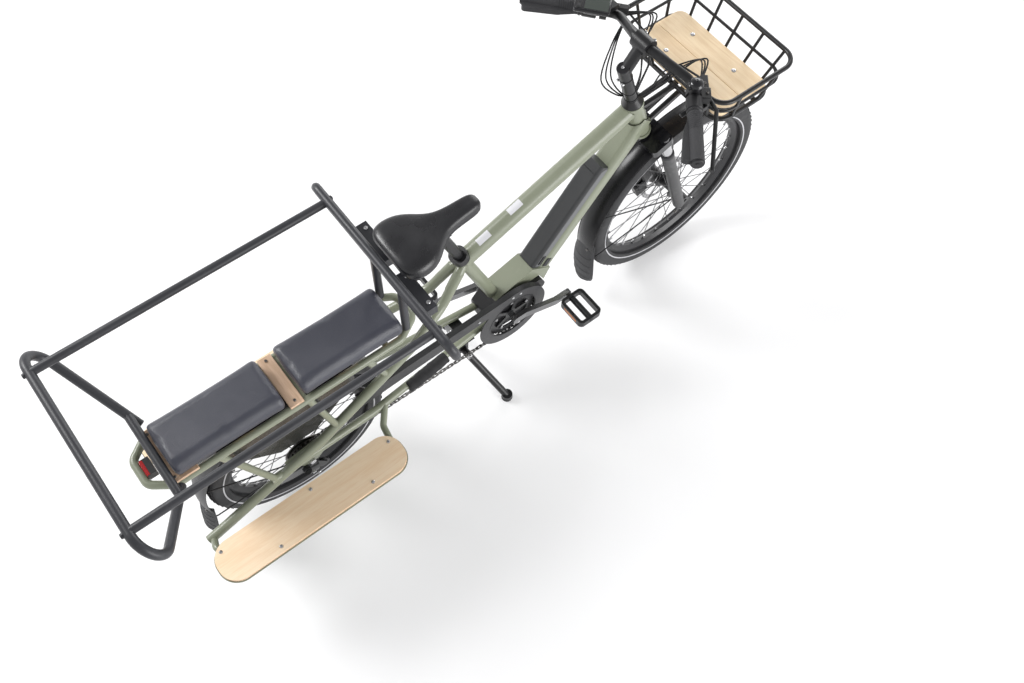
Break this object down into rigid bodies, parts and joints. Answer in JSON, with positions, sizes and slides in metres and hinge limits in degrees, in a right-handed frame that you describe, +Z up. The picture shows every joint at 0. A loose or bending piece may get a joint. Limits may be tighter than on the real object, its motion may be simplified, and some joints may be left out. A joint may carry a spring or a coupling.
{
  "type": "electric longtail cargo bike",
  "caption": "Long-tail electric cargo bike with rear passenger seats, hand rails, running boards, front basket and centre stand.",
  "frame": {"origin": "on the floor under the middle of the overall box, parked", "axes": "+X forward, +Y to the rider's left, +Z up"},
  "size_m": [2.049, 0.667, 1.061],
  "materials": {
    "frame_paint": "matte sage green",
    "black_metal": "satin black",
    "rail_grey": "matte dark grey",
    "bright_metal": "brushed",
    "arm_metal": "satin grey",
    "tyre": "matte",
    "wheel_black": "satin black",
    "black_plastic": "matte",
    "grey_plastic": "matte",
    "grip_rubber": "matte",
    "pad_cover": "soft matte",
    "saddle_cover": "smooth",
    "wood": "oiled light plywood",
    "smoke": "smoked clear",
    "red_lens": "gloss"
  },
  "bodies": {
    "frame": {"head_tube": "frame_paint", "top_tube": "frame_paint", "down_tube": "frame_paint", "battery": "black_plastic", "motor": "black_plastic", "motor_bay": "frame_paint", "seat_tube": "frame_paint", "seatpost": "black_metal", "saddle": "saddle_cover", "rear_frame_right": "frame_paint", "rear_frame_left": "frame_paint", "rack": "frame_paint", "deck": "wood", "seat_pad_front": "pad_cover", "seat_pad_rear": "pad_cover", "front_hoop": "rail_grey", "rear_hoop": "rail_grey", "side_rails": "rail_grey", "running_boards": "wood", "board_brackets": "frame_paint", "chain": "bright_metal", "chain_cover": "grey_plastic", "derailleur": "black_metal", "rear_mudguard": "black_plastic", "wheel_skirts": "smoke", "tail_light": "red_lens", "basket": "black_metal", "basket_floor": "wood", "stand_mount": "black_metal"},
    "steering": {"fork_upper": "black_metal", "fork_lowers": "grey_plastic", "stem": "black_metal", "handlebar": "black_metal", "grips": "grip_rubber", "bar_controls": "black_metal", "front_mudguard": "black_plastic", "cables": "black_plastic"},
    "front_wheel_set": {"front_tyre": "tyre", "front_wheel": "wheel_black", "front_disc": "bright_metal"},
    "rear_wheel_set": {"rear_tyre": "tyre", "rear_wheel": "wheel_black", "rear_disc": "bright_metal", "sprockets": "bright_metal"},
    "crank": {"crank_arms": "arm_metal", "chainring": "black_metal"},
    "right_pedal": {"pedal_right": "black_plastic"},
    "left_pedal": {"pedal_left": "black_plastic"},
    "stand": {"centre_stand": "black_metal"}
  },
  "joints": [
    {"name": "steering", "type": "hinge", "parent": "frame", "child": "steering", "pos_m": [0.4878, 0, 0.77335], "axis": [-0.3584, 0, 0.9336], "range_deg": [-45, 45]},
    {"name": "front_wheel_spin", "type": "hinge", "parent": "steering", "child": "front_wheel_set", "pos_m": [0.71, 0, 0.3145], "axis": [0, 1, 0], "continuous": true},
    {"name": "rear_wheel_spin", "type": "hinge", "parent": "frame", "child": "rear_wheel_set", "pos_m": [-0.6, 0, 0.2615], "axis": [0, 1, 0], "continuous": true},
    {"name": "crank_spin", "type": "hinge", "parent": "frame", "child": "crank", "pos_m": [0.072, 0, 0.284], "axis": [0, 1, 0], "continuous": true},
    {"name": "right_pedal_spin", "type": "hinge", "parent": "crank", "child": "right_pedal", "pos_m": [0.24, -0.095, 0.284], "axis": [0, 1, 0], "continuous": true},
    {"name": "left_pedal_spin", "type": "hinge", "parent": "crank", "child": "left_pedal", "pos_m": [-0.096, 0.095, 0.284], "axis": [0, 1, 0], "continuous": true},
    {"name": "stand_fold", "type": "hinge", "parent": "frame", "child": "stand", "pos_m": [-0.067, 0, 0.172], "axis": [0, 1, 0], "range_deg": [0, 100]}
  ]
}
